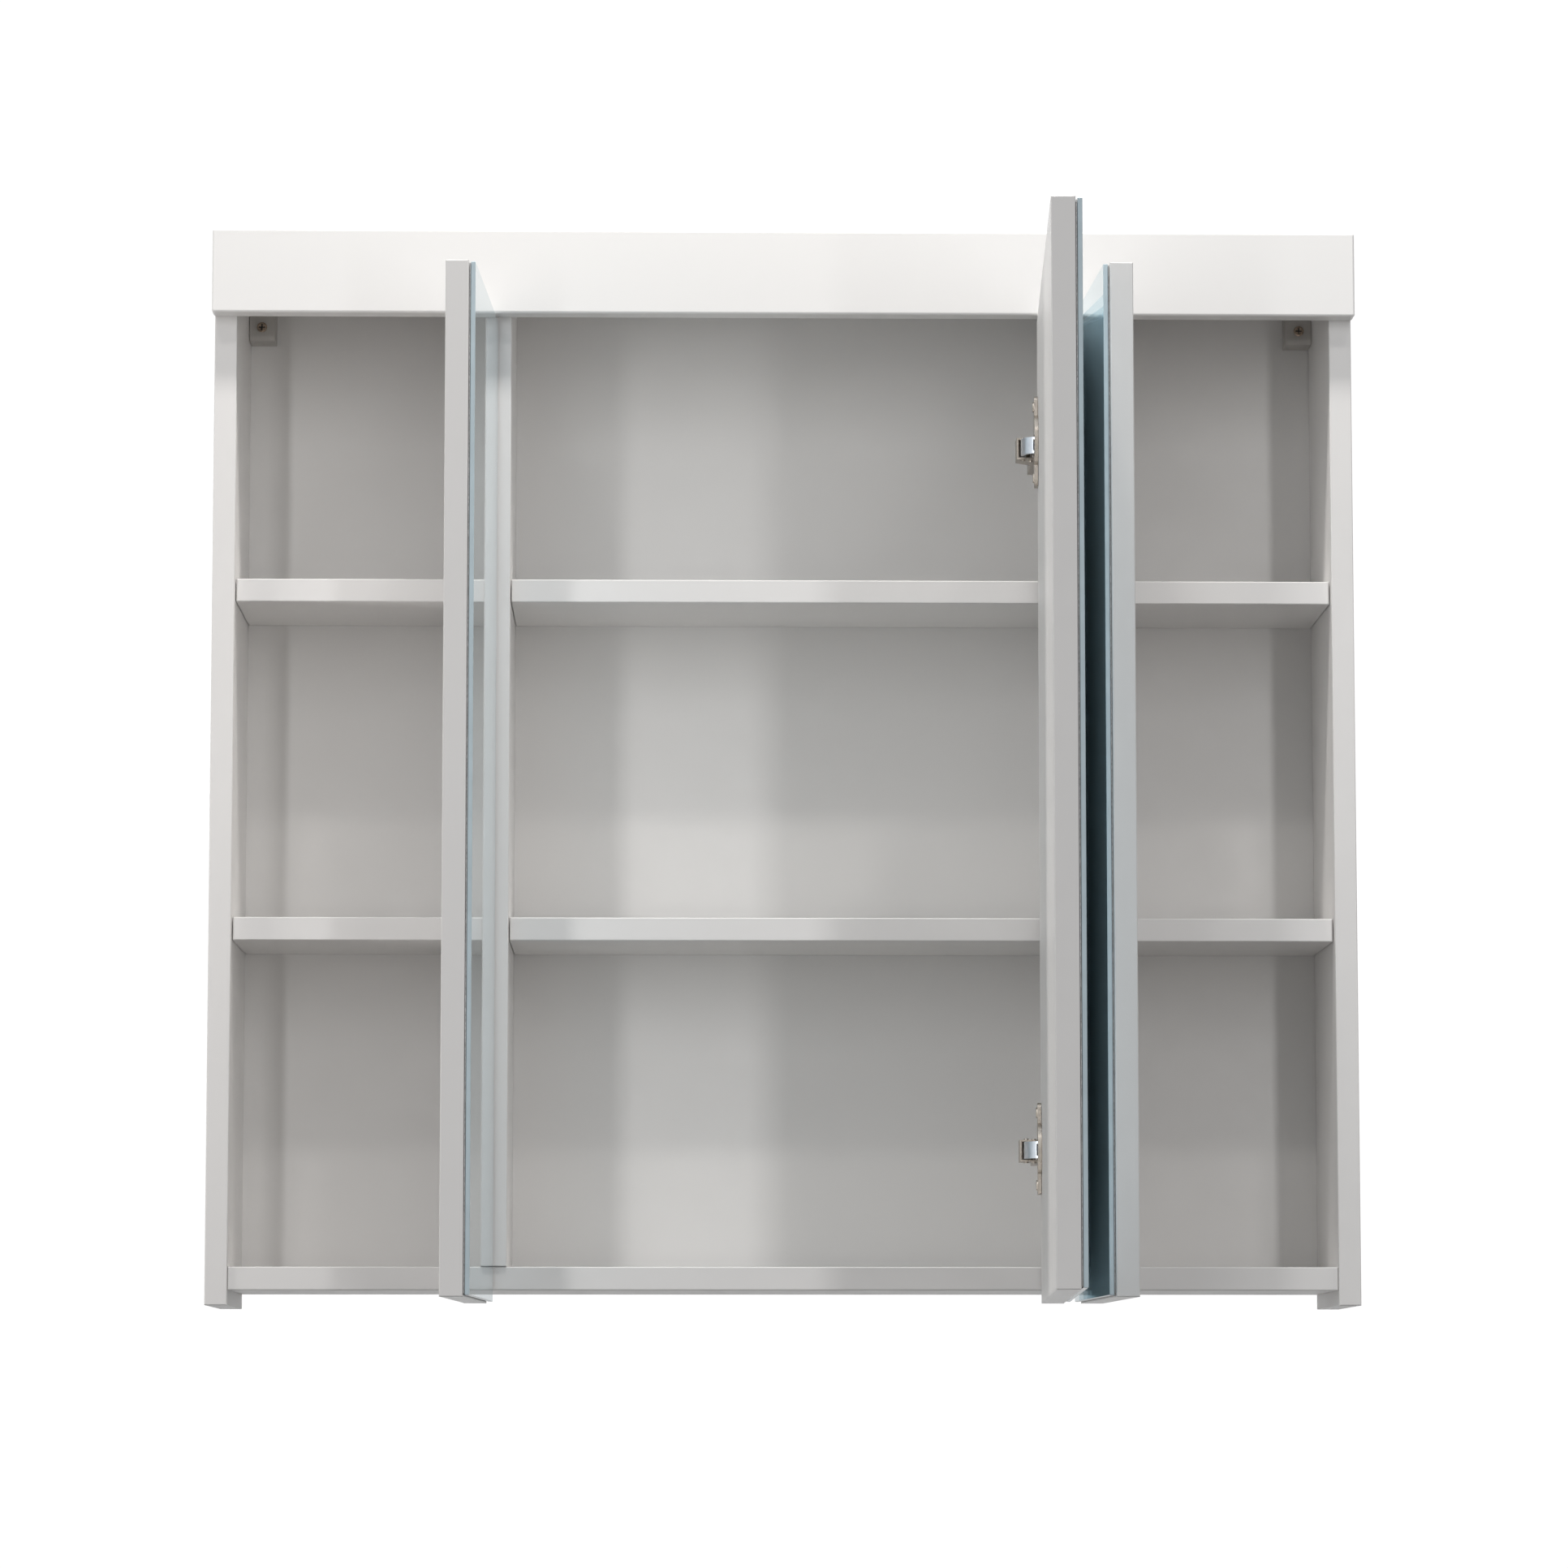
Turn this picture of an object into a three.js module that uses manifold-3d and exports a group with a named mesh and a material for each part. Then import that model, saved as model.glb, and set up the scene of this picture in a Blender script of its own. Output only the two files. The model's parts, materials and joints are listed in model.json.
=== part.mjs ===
// Hanging mirror cabinet with three doors, millimetres, +Z up.
// The front of the cabinet faces -Y and the wall plane is y = 0.
// Heights in this file start at the lower ends of the side panels; the last group moves the
// origin to the middle of the top panel's rear edge, on the wall plane.
// The doors stand open, each turned about the axis of its two concealed hinges.
import * as THREE from "three";
import { mergeVertices } from "three/addons/utils/BufferGeometryUtils.js";
import Module from "manifold-3d";

const wasm = await Module();
wasm.setup();

// ---- Driving dimensions: carcass ----
const bodyWidth = 768;
const bodyHeight = 720;
const bodyDepth = 124;
const sideBoard = 15;
const shelfBoard = 15.5;
const outerBayWidth = 170;
const bottomHeight = 10;
const lowerShelfHeight = 243.4;
const upperShelfHeight = 472;
const shelfSetback = 7.5;
const shelfEndGap = 0.6;
const backPanel = 3;
const backInset = 3;
const grooveDepth = 6;
const seam = 0.2;

// ---- Driving dimensions: fascia ----
const fasciaHeight = 57;
const fasciaThickness = 15.5;
const fasciaSideOverhang = 1;
const fasciaTopOverhang = 2;
const fasciaBevel = 1.3;

// ---- Driving dimensions: doors ----
const doorBoard = 15;
const glass = 3;
const glassInset = 1.1;
const tape = 0.6;
const tapeInset = 2;
const touchGap = 0.3;
const doorTopGap = 2;
const doorBottomHeight = 1.2;
const openAngle = THREE.MathUtils.degToRad(87.5);

// ---- Driving dimensions: concealed hinges ----
const axisFromEdge = 10;
const axisDepth = 8;
const neighbourClearance = 1;
const openMirrorClearance = 0.5;
const carcassClearance = 0.4;
const hingeFromBottom = 101.5;
const hingeFromTop = 86.5;
const cupRadius = 17.5;
const cupFromAxis = 11.5;
const cupDepth = 12.2;
const cupBoreClearance = 0.3;
const cupFloor = 0.6;
const pocketHalfLength = 15.5;
const pocketHalfWidth = 6.4;
const flangeLength = 60.5;
const flangeWidth = 18;
const flangeThickness = 2.4;
const flangeRimRadius = 19;
const flangeCorner = 4;
const armHeight = 34.4;
const armLowHeight = 23.5;
const armHalfWidth = 7.25;
const armWall = 1.2;
const armFront = 1;
const armShoulder = 15;
const armCrankEnd = 24;
const armLength = 60;
const armFoot = 10.4;
const armMouth = 22.4;
const pinRadius = 1.1;
const pinClearance = 0.25;
const rivetRadius = 1.6;
const rivetHeight = 0.9;
const linkThickness = 2.2;
const linkHalfWidth = 5.6;
const linkCheek = 1.7;
const forkAboveRim = 0.5;
const innerLinkHalfWidth = 2.6;
const lugThickness = 0.7;
const lugRadius = 1.8;
const outerArmPin = new THREE.Vector2(30, -3);
const innerArmPin = new THREE.Vector2(24.6, -6);
const outerPinReach = 1.1;
const innerPinReach = -2.2;
const armEye = 2;
const outerEye = 2.1;
const outerEyeSlack = 0.4;
const innerEye = 2.6;
const innerEyeSlack = 0.75;
const plateBase = 2;
const plateBlockHeight = 12;
const plateBlockHalfWidth = 5.6;
const plateBlockStart = 20;
const plateBlockEnd = 56;
const wingHalfSpan = 24;
const wingHalfWidth = 7.5;
const wingLine = 37;
const wingCorner = 5;

// ---- Driving dimensions: hangers in the top corners ----
const coverWidth = 17.7;
const coverDepth = 21;
const coverDrop = 36;
const coverWall = 1.5;
const coverRound = 3.5;
const hangerScrewDrop = 27;
const hangerScrewHead = 3.5;
const hangerScrewHeadHeight = 1.6;
const hangerScrewShaft = 1.75;
const hangerScrewLength = 18;
const hangerBoreClearance = 0.3;
const crossSlot = 0.9;
const crossReach = 2.2;
const crossDepth = 1;
const bracketWidth = 12;
const bracketDepth = 15;
const bracketBottomDrop = 31;
const bracketTopDrop = 4;
const hookDrop = 15;
const hookHeight = 6;
const hookLipDrop = 13;
const hookLip = 1.6;
const wallClearance = 0.6;

// ---- Derived places ----
const halfBody = bodyWidth / 2;
const sideInner = halfBody - sideBoard;
const partitionOuter = sideInner - outerBayWidth;
const partitionInner = partitionOuter - sideBoard;
const partitionCentre = (partitionOuter + partitionInner) / 2;
const bottomTop = bottomHeight + shelfBoard;
const topUnderside = bodyHeight - shelfBoard;
const originHeight = bodyHeight - shelfBoard / 2;
const backRear = -backInset;
const backFront = backRear - backPanel;
const fasciaTop = bodyHeight + fasciaTopOverhang;
const fasciaBottom = fasciaTop - fasciaHeight;
const doorTop = fasciaBottom - doorTopGap;
const doorHeight = doorTop - doorBottomHeight;
const glassStandOff = tape + 2 * touchGap;
const doorThickness = doorBoard + glassStandOff + glass;
const halfPartition = sideBoard / 2;

// The hinge-side edge of a closed door keeps this distance from the partition's centre plane, so
// that its outer corner turns clear of the neighbouring door, and so that two open doors' mirrors
// stand clear of the plane between them.
const axisToMirror = doorThickness - axisDepth;
const outerCornerRadius = Math.hypot(axisFromEdge, axisToMirror);
const edgeGap = Math.max(
  (outerCornerRadius - axisFromEdge + neighbourClearance) / 2,
  axisToMirror - axisFromEdge + openMirrorClearance,
);
const axisAcross = edgeGap + axisFromEdge;
// A closed door stands this far in front of the carcass, so that its inner corner turns clear of
// the partition's front edge.
const innerCornerRadius = Math.hypot(axisFromEdge, axisDepth);
const cornerReach = Math.sqrt(innerCornerRadius ** 2 - (axisAcross - halfPartition) ** 2);
const frontGap = cornerReach - axisDepth + carcassClearance;
const axisForward = frontGap + axisDepth;
// Beside the partition the inner corner turns past the carcass front, so the bottom panel stands back.
const bottomSetback = Math.max(0, innerCornerRadius - axisForward) + carcassClearance;
const hingeAxis = new THREE.Vector2(axisAcross, axisForward);
const sideDoorWidth = halfBody - partitionCentre - edgeGap;
const middleDoorWidth = 2 * (partitionCentre - edgeGap);
const hingeHeights = {
  lower: doorBottomHeight + hingeFromBottom,
  upper: doorTop - hingeFromTop,
};

// ---- Finishes ----
function finish(color, roughness, metalness) {
  return () => new THREE.MeshStandardMaterial({ color, roughness, metalness });
}
const whiteBoard = finish(0xd9d5d1, 0.45, 0);
const whiteGloss = finish(0xe9e6e3, 0.2, 0);
const mirrorGlass = finish(0xc9d6dc, 0.04, 1);
const greyTape = finish(0x6f6d6c, 0.9, 0);
const nickelSteel = finish(0xa79b8d, 0.3, 1);
const brightSteel = finish(0xc9cdd2, 0.22, 1);
const greyPlastic = finish(0xb3afab, 0.55, 0);
const bronzeSteel = finish(0x8a7a6a, 0.4, 1);

// ---- Shape helpers ----
function solid(geometry) {
  const bare = geometry.clone();
  bare.deleteAttribute("normal");
  bare.deleteAttribute("uv");
  const merged = mergeVertices(bare, 1e-4);
  const mesh = new wasm.Mesh({
    numProp: 3,
    vertProperties: new Float32Array(merged.attributes.position.array),
    triVerts: new Uint32Array(merged.index.array),
  });
  return new wasm.Manifold(mesh);
}

function geometryOf(manifold) {
  const mesh = manifold.getMesh();
  const geometry = new THREE.BufferGeometry();
  geometry.setAttribute("position", new THREE.BufferAttribute(mesh.vertProperties, 3));
  geometry.setIndex(new THREE.BufferAttribute(mesh.triVerts, 1));
  geometry.computeVertexNormals();
  return geometry;
}

function box(low, high) {
  const size = high.map((value, axis) => value - low[axis]);
  const geometry = new THREE.BoxGeometry(...size);
  return geometry.translate(...low.map((value, axis) => value + size[axis] / 2));
}

// A flat outline in x and y, as thick as z runs from bottom to top.
function plate(outline, bottom, top, curveSegments = 10) {
  const settings = { depth: top - bottom, bevelEnabled: false, curveSegments };
  return new THREE.ExtrudeGeometry(outline, settings).translate(0, 0, bottom);
}

// A flat outline in x and z, as thick as y runs from front to rear.
function wall(outline, front, rear, curveSegments = 10) {
  return plate(outline, -rear, -front, curveSegments).rotateX(Math.PI / 2);
}

// A flat outline in y and z, as thick as x runs from left to right.
function section(outline, left, right, curveSegments = 10) {
  const geometry = plate(outline, left, right, curveSegments);
  return geometry.rotateY(Math.PI / 2).rotateX(Math.PI / 2);
}

function polygon(points) {
  return new THREE.Shape(points.map(([x, y]) => new THREE.Vector2(x, y)));
}

function disc(x, y, radius) {
  return new THREE.Shape().absarc(x, y, radius, 0, 2 * Math.PI, false);
}

function roundedRectangle(x0, x1, y0, y1, radius) {
  const shape = new THREE.Shape();
  shape.absarc(x1 - radius, y0 + radius, radius, -Math.PI / 2, 0, false);
  shape.absarc(x1 - radius, y1 - radius, radius, 0, Math.PI / 2, false);
  shape.absarc(x0 + radius, y1 - radius, radius, Math.PI / 2, Math.PI, false);
  shape.absarc(x0 + radius, y0 + radius, radius, Math.PI, 1.5 * Math.PI, false);
  return shape;
}

function pin(x, y, radius, bottom, top) {
  return solid(plate(disc(x, y, radius), bottom, top, 8));
}

// ---- The assembly ----
const cabinet = new THREE.Group();

function add(parent, name, geometry, makeFinish) {
  const mesh = new THREE.Mesh(geometry, makeFinish());
  mesh.name = name;
  parent.add(mesh);
  return mesh;
}

// ---- Carcass ----
function backPanelGroove() {
  const reach = grooveDepth + seam;
  const low = [-sideInner - reach, backFront - seam, bottomTop - reach];
  const high = [sideInner + reach, backRear + seam, topUnderside + reach];
  return solid(box(low, high));
}

function makeCarcass() {
  const groove = backPanelGroove();
  for (const [side, sign] of [["left", -1], ["right", 1]]) {
    const inner = sign * sideInner;
    const outer = sign * halfBody;
    const low = [Math.min(inner, outer), -bodyDepth, 0];
    const high = [Math.max(inner, outer), 0, bodyHeight];
    add(cabinet, `side_panel_${side}`, geometryOf(solid(box(low, high)).subtract(groove)), whiteBoard);
    const near = sign * partitionInner;
    const far = sign * partitionOuter;
    const partitionLow = [Math.min(near, far), -bodyDepth, bottomTop + seam];
    const partitionHigh = [Math.max(near, far), backFront - seam, topUnderside - seam];
    add(cabinet, `partition_${side}`, box(partitionLow, partitionHigh), whiteBoard);
  }
  const across = sideInner - seam;
  const bottom = box([-across, bottomSetback - bodyDepth, bottomHeight], [across, 0, bottomTop]);
  const top = box([-across, -bodyDepth, topUnderside], [across, 0, bodyHeight]);
  add(cabinet, "bottom_panel", geometryOf(solid(bottom).subtract(groove)), whiteBoard);
  add(cabinet, "top_panel", geometryOf(solid(top).subtract(groove)), whiteBoard);
}

function makeBackPanel() {
  const reach = grooveDepth - seam;
  const low = [-sideInner - reach, backFront, bottomTop - reach];
  const high = [sideInner + reach, backRear, topUnderside + reach];
  let sheet = solid(box(low, high));
  const notchBottom = topUnderside - bracketBottomDrop;
  for (const sign of [-1, 1]) {
    const outer = sign * (sideInner + 2 * grooveDepth);
    const inner = sign * (sideInner - (coverWidth + bracketWidth) / 2 - touchGap);
    const notchLow = [Math.min(inner, outer), backFront - seam, notchBottom];
    const notchHigh = [Math.max(inner, outer), backRear + seam, topUnderside + 2 * grooveDepth];
    sheet = sheet.subtract(solid(box(notchLow, notchHigh)));
  }
  add(cabinet, "back_panel", geometryOf(sheet), whiteBoard);
}

function makeShelves() {
  const bays = [
    ["left", -sideInner, -partitionOuter],
    ["middle", -partitionInner, partitionInner],
    ["right", partitionOuter, sideInner],
  ];
  const levels = [["lower", lowerShelfHeight], ["upper", upperShelfHeight]];
  for (const [level, underside] of levels) {
    for (const [bay, left, right] of bays) {
      const low = [left + shelfEndGap, -bodyDepth + shelfSetback, underside];
      const high = [right - shelfEndGap, backFront - seam, underside + shelfBoard];
      add(cabinet, `shelf_${level}_${bay}`, box(low, high), whiteBoard);
    }
  }
}

function makeFascia() {
  const rear = -bodyDepth - seam;
  const front = rear - fasciaThickness;
  const profile = polygon([
    [rear, fasciaBottom],
    [rear, fasciaTop],
    [front + fasciaBevel, fasciaTop],
    [front, fasciaTop - fasciaBevel],
    [front, fasciaBottom + fasciaBevel],
    [front + fasciaBevel, fasciaBottom],
  ]);
  const reach = halfBody + fasciaSideOverhang;
  add(cabinet, "fascia", section(profile, -reach, reach), whiteGloss);
}

// ---- Hangers: a steel hook, its plastic cover and its adjusting screw, drawn for the left corner ----
function makeHanger(side) {
  const corner = new THREE.Group();
  corner.position.set(-sideInner, 0, topUnderside);
  if (side === "right") {
    corner.position.x = sideInner;
    corner.scale.x = -1;
  }
  cabinet.add(corner);
  const middle = touchGap + coverWidth / 2;
  const coverRear = backFront - touchGap;
  const coverFront = coverRear - coverDepth;
  const coverTop = -touchGap;

  const outline = new THREE.Shape();
  outline.moveTo(coverRear, coverTop);
  outline.lineTo(coverFront, coverTop);
  outline.lineTo(coverFront, -coverDrop + coverRound);
  const cornerAt = [coverFront + coverRound, -coverDrop + coverRound];
  outline.absarc(...cornerAt, coverRound, Math.PI, 1.5 * Math.PI, false);
  outline.lineTo(coverRear, -coverDrop);
  const hollow = box(
    [touchGap + coverWall, coverFront + coverWall, -coverDrop + coverWall],
    [touchGap + coverWidth - coverWall, coverRear + coverWall, 0],
  );
  const screwHole = new THREE.CylinderGeometry(
    hangerScrewShaft + hangerBoreClearance,
    hangerScrewShaft + hangerBoreClearance,
    hangerScrewLength * 2,
    20,
  ).translate(middle, coverFront, -hangerScrewDrop);
  const coverBlock = solid(section(outline, touchGap, touchGap + coverWidth, 6));
  const cover = coverBlock.subtract(solid(hollow)).subtract(solid(screwHole));
  add(corner, `hanger_cover_${side}`, geometryOf(cover), greyPlastic);

  const bracketLeft = middle - bracketWidth / 2;
  const bracketRight = middle + bracketWidth / 2;
  const hookTop = -hookDrop;
  const hookUnderside = hookTop - hookHeight;
  const lipFront = -wallClearance - hookLip;
  const bracketOutline = polygon([
    [coverRear - bracketDepth, -bracketBottomDrop],
    [coverRear, -bracketBottomDrop],
    [coverRear, hookUnderside],
    [lipFront, hookUnderside],
    [lipFront, hookTop - hookLipDrop],
    [-wallClearance, hookTop - hookLipDrop],
    [-wallClearance, hookTop],
    [coverRear, hookTop],
    [coverRear, -bracketTopDrop],
    [coverRear - bracketDepth, -bracketTopDrop],
  ]);
  const bracket = solid(section(bracketOutline, bracketLeft, bracketRight)).subtract(solid(screwHole));
  add(corner, `hanger_hook_${side}`, geometryOf(bracket), nickelSteel);

  const headFront = coverFront - touchGap - hangerScrewHeadHeight;
  const screwProfile = [
    [0, 0],
    [hangerScrewHead * 0.8, 0],
    [hangerScrewHead, hangerScrewHeadHeight * 0.4],
    [hangerScrewHead, hangerScrewHeadHeight],
    [hangerScrewShaft, hangerScrewHeadHeight],
    [hangerScrewShaft, hangerScrewLength],
    [0, hangerScrewLength],
  ].map(([radius, along]) => new THREE.Vector2(radius, along));
  const turned = new THREE.LatheGeometry(screwProfile, 20).translate(0, headFront, 0);
  const slots = [
    box([-crossReach, headFront - 1, -crossSlot / 2], [crossReach, headFront + crossDepth, crossSlot / 2]),
    box([-crossSlot / 2, headFront - 1, -crossReach], [crossSlot / 2, headFront + crossDepth, crossReach]),
  ];
  let screw = solid(turned);
  for (const slot of slots) screw = screw.subtract(solid(slot));
  const screwMesh = add(corner, `hanger_screw_${side}`, geometryOf(screw), bronzeSteel);
  screwMesh.position.set(middle, 0, -hangerScrewDrop);
}

// ---- Hinges ----
// Drawn in the hinge's own plane: x runs from the partition's centre plane into the bay that the
// door covers, y runs out of the cabinet from the carcass front, z is up from the hinge's middle.
const leanOf = (armPin) => Math.atan2(hingeAxis.y - armPin.y, hingeAxis.x - armPin.x);

// One cup pin sits a little beyond the door's axis, seen from its arm pin, and the other a little
// before it. The arc that each makes as the door opens is centred on the line to its arm pin.
function cupPin(armPin, reach, doorTurn) {
  const angle = leanOf(armPin) + doorTurn - openAngle / 2;
  return new THREE.Vector2(Math.cos(angle), Math.sin(angle)).multiplyScalar(reach).add(hingeAxis);
}
const outerCupPin = (doorTurn) => cupPin(outerArmPin, outerPinReach, doorTurn);
const innerCupPin = (doorTurn) => cupPin(innerArmPin, innerPinReach, doorTurn);

// A link's eye lies midway between its cup pin's nearest and farthest place from the arm pin.
function eyeCentre(armPin, reach) {
  const end = cupPin(armPin, reach, openAngle);
  const play = reach * (1 - Math.cos(openAngle / 2)) / 2;
  return end.clone().sub(armPin).setLength(play).add(end);
}

function makeMountingPlate() {
  const face = halfPartition + seam;
  const top = face + plateBase;
  const wings = roundedRectangle(-wingHalfSpan, wingHalfSpan, -wingHalfWidth, wingHalfWidth, wingCorner);
  // The wings' outline lies in z and y and is turned to stand on the partition's face.
  const wingSolid = solid(plate(wings, face, top, 5).rotateY(Math.PI / 2).translate(0, -wingLine, 0));
  const block = box(
    [face, -plateBlockEnd, -plateBlockHalfWidth],
    [halfPartition + plateBlockHeight, -plateBlockStart, plateBlockHalfWidth],
  );
  return geometryOf(wingSolid.add(solid(block)));
}

function makeArm() {
  const outer = polygon([
    [armMouth, armFront],
    [armHeight, armFront],
    [armHeight, -armShoulder],
    [armLowHeight, -armCrankEnd],
    [armLowHeight, -armLength],
    [armFoot, -armLength],
    [armFoot, -armCrankEnd],
    [armMouth, -armShoulder],
  ]);
  const far = armLength + armWall;
  const inner = polygon([
    [0, armFront + armWall],
    [armHeight - armWall, armFront + armWall],
    [armHeight - armWall, -armShoulder - armWall / 2],
    [armLowHeight - armWall, -armCrankEnd - armWall / 2],
    [armLowHeight - armWall, -far],
    [0, -far],
  ]);
  const inside = armHalfWidth - armWall;
  let arm = solid(plate(outer, -armHalfWidth, armHalfWidth));
  arm = arm.subtract(solid(plate(inner, -inside, inside)));
  for (const place of [outerArmPin, innerArmPin]) {
    arm = arm.add(pin(place.x, place.y, pinRadius, -armHalfWidth, armHalfWidth));
    const headEnd = armHalfWidth + rivetHeight;
    const headStart = armHalfWidth - armWall / 2;
    arm = arm.add(pin(place.x, place.y, rivetRadius, headStart, headEnd));
    arm = arm.add(pin(place.x, place.y, rivetRadius, -headEnd, -headStart));
  }
  return geometryOf(arm);
}

// A band of even thickness along a smooth curve through the given points.
function band(points, thickness) {
  const steps = 14;
  const path = new THREE.SplineCurve(points);
  const edge = (side) => {
    const line = [];
    for (let step = 0; step <= steps; step++) {
      const at = path.getPoint(step / steps);
      const along = path.getTangent(step / steps);
      line.push([at.x - side * along.y * thickness / 2, at.y + side * along.x * thickness / 2]);
    }
    return line;
  };
  return polygon([...edge(-1), ...edge(1).reverse()]);
}

// A link: a band through its course with an eye at each end, the first of them on the arm pin.
function makeLink(course, halfWidth, endEye, endSlack) {
  const start = course[0];
  const end = course.at(-1);
  let link = solid(plate(band(course, linkThickness), -halfWidth, halfWidth));
  link = link.add(pin(start.x, start.y, armEye, -halfWidth, halfWidth));
  link = link.add(pin(end.x, end.y, endEye, -halfWidth, halfWidth));
  link = link.subtract(pin(start.x, start.y, pinRadius + pinClearance, -armHalfWidth, armHalfWidth));
  return link.subtract(pin(end.x, end.y, pinRadius + endSlack, -armHalfWidth, armHalfWidth));
}

// The cup's rim on the open door, at the pocket wall that the links reach over.
const openRim = new THREE.Vector2(
  hingeAxis.x + axisDepth + touchGap + flangeThickness,
  hingeAxis.y + cupFromAxis - pocketHalfLength,
);
const fromRim = (across, forward) => new THREE.Vector2(openRim.x + across, openRim.y + forward);

function makeOuterLink() {
  const end = eyeCentre(outerArmPin, outerPinReach);
  const knee = fromRim(7, -2);
  const shoulder = fromRim(3.8, 3.4);
  const lead = fromRim(-2.3, 5.6);
  const link = makeLink([outerArmPin, knee, shoulder, lead, end], linkHalfWidth, outerEye, outerEyeSlack);
  // The end is a fork, with room between its cheeks for the inner link and the cup's lugs.
  const between = linkHalfWidth - linkCheek;
  const clearing = box([0, 0, -between], [openRim.x + forkAboveRim, 2 * hingeAxis.y, between]);
  return geometryOf(link.subtract(solid(clearing)));
}

function makeInnerLink() {
  const end = eyeCentre(innerArmPin, innerPinReach);
  const knee = fromRim(2.8, -2);
  const lead = fromRim(-0.8, 2.6);
  const course = [innerArmPin, knee, lead, end];
  return geometryOf(makeLink(course, innerLinkHalfWidth, innerEye, innerEyeSlack));
}

// The cup is drawn on the closed door, about the hinge axis, so that it turns with the door.
function makeCup() {
  const face = -axisDepth;
  const flangeTop = face - touchGap;
  const flangeFront = flangeTop - flangeThickness;
  const half = flangeLength / 2;
  const strip = roundedRectangle(
    cupFromAxis - flangeWidth / 2,
    cupFromAxis + flangeWidth / 2,
    -half,
    half,
    flangeCorner,
  );
  let cup = solid(wall(strip, flangeFront, flangeTop, 5));
  cup = cup.add(solid(wall(disc(cupFromAxis, 0, flangeRimRadius), flangeFront, flangeTop, 22)));
  const shell = wall(disc(cupFromAxis, 0, cupRadius), flangeTop - flangeThickness / 2, face + cupDepth, 22);
  cup = cup.add(solid(shell));
  const pocket = box(
    [cupFromAxis - pocketHalfLength, flangeFront - 1, -pocketHalfWidth],
    [cupFromAxis + pocketHalfLength, face + cupDepth - cupFloor, pocketHalfWidth],
  );
  cup = cup.subtract(solid(pocket));
  // Two stub pins carry the outer link's cheeks. A pin between two lugs carries the inner link.
  const outerAt = outerCupPin(0).sub(hingeAxis);
  const innerAt = innerCupPin(0).sub(hingeAxis);
  const lugEnd = innerLinkHalfWidth + touchGap + lugThickness;
  const lug = box(
    [innerAt.x - lugRadius, innerAt.y, -lugEnd],
    [innerAt.x + lugRadius, face + cupDepth - cupFloor / 2, lugEnd],
  );
  const slot = box(
    [innerAt.x - 2 * lugRadius, innerAt.y - 2 * lugRadius, lugThickness - lugEnd],
    [innerAt.x + 2 * lugRadius, face + cupDepth - cupFloor, lugEnd - lugThickness],
  );
  const lugs = solid(lug).add(pin(innerAt.x, innerAt.y, lugRadius, -lugEnd, lugEnd));
  cup = cup.add(lugs.subtract(solid(slot)));
  cup = cup.add(pin(innerAt.x, innerAt.y, pinRadius, -lugEnd, lugEnd));
  for (const sign of [-1, 1]) {
    const stub = [sign * (lugEnd + touchGap), sign * (pocketHalfWidth + 1)].sort((a, b) => a - b);
    cup = cup.add(pin(outerAt.x, outerAt.y, pinRadius, ...stub));
  }
  return geometryOf(cup);
}

const mountingPlateShape = makeMountingPlate();
const armShape = makeArm();
const outerLinkShape = makeOuterLink();
const innerLinkShape = makeInnerLink();
const cupShape = makeCup();

// ---- Doors: drawn closed about their hinge axis, then turned open ----
function makeDoor(name, side, width) {
  const frame = new THREE.Group();
  frame.position.set(side === "left" ? -partitionCentre : partitionCentre, -bodyDepth, 0);
  frame.rotation.z = Math.PI;
  // The right door covers the bay on the other side of its partition.
  if (name === "right") frame.scale.x = -1;
  cabinet.add(frame);

  const leaf = new THREE.Group();
  leaf.position.set(hingeAxis.x, hingeAxis.y, 0);
  leaf.rotation.z = openAngle;
  frame.add(leaf);

  const edge = -axisFromEdge;
  const free = edge + width;
  const face = -axisDepth;
  const boardFront = face + doorBoard;
  const glassBack = boardFront + glassStandOff;
  const boardBox = box([edge, face, doorBottomHeight], [free, boardFront, doorTop]);
  let board = solid(boardBox);
  const boreRadius = cupRadius + cupBoreClearance;
  for (const height of Object.values(hingeHeights)) {
    const boreEnd = face + cupDepth + cupBoreClearance;
    const bore = wall(disc(cupFromAxis, height, boreRadius), face - 1, boreEnd, 24);
    board = board.subtract(solid(bore));
  }
  add(leaf, `door_${name}`, geometryOf(board), whiteBoard);
  const tapeLow = [edge + tapeInset, boardFront + touchGap, doorBottomHeight + tapeInset];
  const tapeHigh = [free - tapeInset, glassBack - touchGap, doorTop - tapeInset];
  add(leaf, `mirror_tape_${name}`, box(tapeLow, tapeHigh), greyTape);
  const glassLow = [edge + glassInset, glassBack, doorBottomHeight + glassInset];
  const glassHigh = [free - glassInset, glassBack + glass, doorTop - glassInset];
  add(leaf, `mirror_${name}`, box(glassLow, glassHigh), mirrorGlass);

  for (const [level, height] of Object.entries(hingeHeights)) {
    const fixed = [
      [`mounting_plate_${name}_${level}`, mountingPlateShape, nickelSteel],
      [`hinge_arm_${name}_${level}`, armShape, nickelSteel],
      [`outer_link_${name}_${level}`, outerLinkShape, brightSteel],
      [`inner_link_${name}_${level}`, innerLinkShape, brightSteel],
    ];
    for (const [label, shape, makeFinish] of fixed) {
      add(frame, label, shape, makeFinish).position.z = height;
    }
    add(leaf, `hinge_cup_${name}_${level}`, cupShape, nickelSteel).position.z = height;
  }
}

makeCarcass();
makeBackPanel();
makeShelves();
makeFascia();
makeHanger("left");
makeHanger("right");
makeDoor("left", "left", sideDoorWidth);
makeDoor("middle", "right", middleDoorWidth);
makeDoor("right", "right", sideDoorWidth);
cabinet.position.z = -originHeight;

const part = new THREE.Group();
part.add(cabinet);

export default part;
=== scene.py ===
"""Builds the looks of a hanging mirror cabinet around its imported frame."""

import json
from math import atan, radians

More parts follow.
